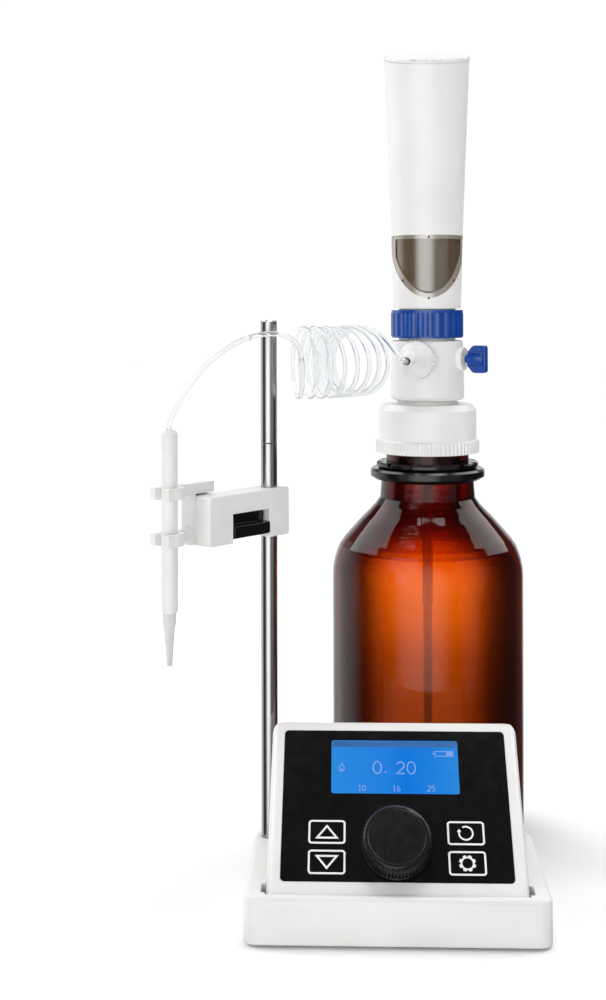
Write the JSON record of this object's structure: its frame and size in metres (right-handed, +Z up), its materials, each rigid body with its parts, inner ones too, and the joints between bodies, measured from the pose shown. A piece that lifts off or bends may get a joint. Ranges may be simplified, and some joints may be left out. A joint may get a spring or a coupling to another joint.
{
  "type": "electronic bottle top dispenser",
  "caption": "Motor-driven bottle top dispenser on an amber bottle, with a sloped control console in a base, a coiled delivery tube and a dosing pen on a clamp arm.",
  "frame": {"origin": "on the bench, under the middle of the bounding box of everything but the delivery tube", "axes": "+Z up; -Y to the side with the panel; +X to the right seen from the panel"},
  "size_m": [0.1822, 0.1944, 0.4185],
  "materials": {
    "white_plastic": "fine satin, moulded",
    "grey_plastic": "matt, moulded",
    "black_gloss": "smooth, glossy",
    "black_knob": "fine satin with knurled side",
    "blue_plastic": "satin, moulded",
    "display": "backlit liquid crystal face",
    "steel": "polished along its length",
    "rubber": "matt",
    "amber_glass": "clear amber",
    "smoked_window": "clear smoked bronze",
    "clear_glass": "clear",
    "clear_tube": "clear, smooth",
    "translucent_tip": "milky translucent",
    "seal_white": "waxy white",
    "board_green": "lacquered board",
    "battery_wrap": "shrink wrap",
    "motor_metal": "satin black"
  },
  "bodies": {
    "stand": {"base_shell": "white_plastic", "base_bottom_plate": "grey_plastic", "base_screws": "steel", "rubber_feet": "rubber", "rod_lower": "steel", "rod_upper": "steel", "bottle": "amber_glass", "pour_ring": "black_gloss", "bottle_adapter": "white_plastic", "adapter_seal": "rubber", "valve_block": "white_plastic", "suction_seat": "seal_white", "discharge_seat": "seal_white", "outlet_nozzle": "white_plastic", "outlet_nut": "white_plastic", "drive_housing": "white_plastic", "housing_cap": "white_plastic", "sight_window": "smoked_window", "window_pins": "black_gloss", "measuring_cylinder": "clear_glass", "guide_rods": "steel", "motor": "motor_metal", "intake_tube_upper": "seal_white", "delivery_coil": "clear_tube"},
    "console": {"console_shell": "white_plastic", "console_cover": "white_plastic", "console_screws": "steel", "panel_overlay": "black_gloss", "display_lens": "display", "display_module": "grey_plastic", "control_board": "board_green", "encoder_body": "grey_plastic", "key_switches": "grey_plastic", "battery_pack": "battery_wrap"},
    "knob_rotor": {"encoder_rotor": "steel"},
    "knob": {"knob": "black_knob", "knob_shaft": "steel"},
    "up_key": {"key_up": "black_gloss"},
    "down_key": {"key_down": "black_gloss"},
    "return_key": {"key_return": "black_gloss"},
    "settings_key": {"key_settings": "black_gloss"},
    "suction_ball": {"suction_ball": "seal_white"},
    "discharge_ball": {"discharge_ball": "seal_white"},
    "circulation_valve": {"valve_plug": "seal_white", "valve_knob": "blue_plastic"},
    "coupling_ring": {"coupling_ring": "blue_plastic"},
    "lead_screw": {"lead_screw": "steel"},
    "piston": {"piston": "seal_white", "piston_rod": "steel", "drive_nut": "seal_white"},
    "intake_tube": {"intake_tube_lower": "seal_white"},
    "clamp_bush": {"clamp_bush": "seal_white", "delivery_lead_upper": "clear_tube"},
    "clamp_arm": {"clamp_arm": "white_plastic", "lever_pin": "steel", "clip_bracket": "white_plastic", "delivery_lead_lower": "clear_tube"},
    "clamp_lever": {"clamp_lever": "black_gloss"},
    "pen": {"pen_body": "white_plastic", "pen_tip": "translucent_tip"}
  },
  "joints": [
    {"name": "console_lift", "type": "slide", "parent": "stand", "child": "console", "axis": [0, 0, 1], "range_m": [0, 0.06]},
    {"name": "knob_turn", "type": "hinge", "parent": "console", "child": "knob_rotor", "pos_m": [0.02036, -0.07628, 0.03678], "axis": [0, -0.6988, 0.7153], "continuous": true},
    {"name": "knob_press", "type": "slide", "parent": "knob_rotor", "child": "knob", "axis": [0, 0.6988, -0.7153], "range_m": [0, 0.0005], "stiffness_N_per_m": 3000},
    {"name": "key_up_press", "type": "slide", "parent": "console", "child": "up_key", "axis": [0, 0.6988, -0.7153], "range_m": [0, 0.00035], "stiffness_N_per_m": 2500},
    {"name": "key_down_press", "type": "slide", "parent": "console", "child": "down_key", "axis": [0, 0.6988, -0.7153], "range_m": [0, 0.00035], "stiffness_N_per_m": 2500},
    {"name": "key_return_press", "type": "slide", "parent": "console", "child": "return_key", "axis": [0, 0.6988, -0.7153], "range_m": [0, 0.00035], "stiffness_N_per_m": 2500},
    {"name": "key_settings_press", "type": "slide", "parent": "console", "child": "settings_key", "axis": [0, 0.6988, -0.7153], "range_m": [0, 0.00035], "stiffness_N_per_m": 2500},
    {"name": "coupling_turn", "type": "hinge", "parent": "stand", "child": "coupling_ring", "pos_m": [0.04056, 0.04675, 0.2695], "axis": [0, 0, 1], "range_deg": [0, 60]},
    {"name": "screw_turn", "type": "hinge", "parent": "stand", "child": "lead_screw", "pos_m": [0.04056, 0.04675, 0.36], "axis": [0, 0, 1], "range_deg": [0, 3024]},
    {"name": "piston_stroke", "type": "slide", "parent": "stand", "child": "piston", "axis": [0, 0, 1], "range_m": [0, 0.042]},
    {"name": "suction_lift", "type": "slide", "parent": "stand", "child": "suction_ball", "axis": [0, 0, 1], "range_m": [0, 0.0012]},
    {"name": "discharge_lift", "type": "slide", "parent": "stand", "child": "discharge_ball", "axis": [-0.3007, -0.9537, 0], "range_m": [0, 0.0012]},
    {"name": "valve_turn", "type": "hinge", "parent": "stand", "child": "circulation_valve", "pos_m": [0.04056, 0.04675, 0.2515], "axis": [0.9063, -0.4226, 0], "range_deg": [0, 90]},
    {"name": "intake_slide", "type": "slide", "parent": "stand", "child": "intake_tube", "axis": [0, 0, 1], "range_m": [0, 0.06]},
    {"name": "arm_slide", "type": "slide", "parent": "stand", "child": "clamp_bush", "axis": [0, 0, 1], "range_m": [-0.03, 0.05], "deforming": ["delivery_coil", "delivery_lead_upper", "delivery_lead_lower"]},
    {"name": "arm_swivel", "type": "hinge", "parent": "clamp_bush", "child": "clamp_arm", "pos_m": [-0.03989, -0.02275, 0.178], "axis": [0, 0, 1], "range_deg": [-50, 40], "deforming": ["delivery_lead_upper", "delivery_lead_lower"]},
    {"name": "lever_press", "type": "hinge", "parent": "clamp_arm", "child": "clamp_lever", "pos_m": [-0.0433, -0.02915, 0.1798], "axis": [0.6428, 0.766, 0], "range_deg": [0, 12], "stiffness_Nm_per_rad": 0.08},
    {"name": "pen_slide", "type": "slide", "parent": "clamp_arm", "child": "pen", "axis": [0, 0, 1], "range_m": [-0.015, 0.02], "deforming": ["delivery_lead_lower"]}
  ],
  "couplings": [
    {"joint": "screw_turn", "follows": "piston_stroke", "rad_per_m": 1256.6}
  ]
}
